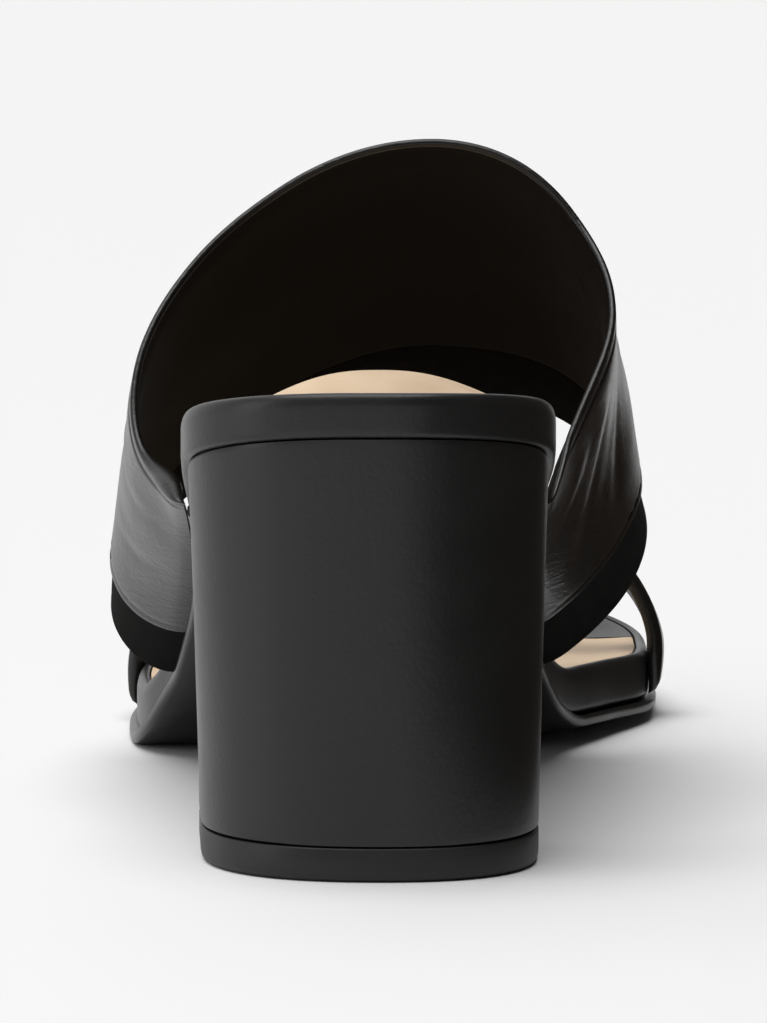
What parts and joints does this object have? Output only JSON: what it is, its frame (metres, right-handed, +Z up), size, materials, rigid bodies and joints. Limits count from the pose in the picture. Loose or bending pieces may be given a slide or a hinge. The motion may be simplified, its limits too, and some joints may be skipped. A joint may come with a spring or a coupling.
{
  "type": "mule shoe",
  "caption": "Women's left slip-on mule with a wide leather vamp, a suede front trim, a thin toe strap, a padded footbed and a covered block heel, made as separate pieces",
  "frame": {"origin": "bottom centre of the bounding box, on the floor that the heel and the forefoot stand on", "axes": "+Y runs from the heel to the toe, +X to the big toe's side, +Z up"},
  "size_m": [0.0938, 0.2294, 0.1087],
  "materials": {
    "upper": "smooth black leather, satin, with fine creases",
    "front_trim": "matt black suede",
    "toe_strap": "smooth black leather, satin",
    "footbed": "smooth black leather wrapped over a padded bed",
    "sock": "pale beige lining leather, matt",
    "toe_lining": "smooth black lining leather",
    "outsole": "thin black sole with a polished edge",
    "heel_block": "block heel covered in satin black leather",
    "top_piece": "matt black rubber"
  },
  "bodies": {
    "root": {"upper": "upper", "front_trim": "front_trim", "toe_strap": "toe_strap", "footbed": "footbed", "sock": "sock", "toe_lining": "toe_lining", "outsole": "outsole", "heel_block": "heel_block", "top_piece": "top_piece"}
  },
  "joints": []
}
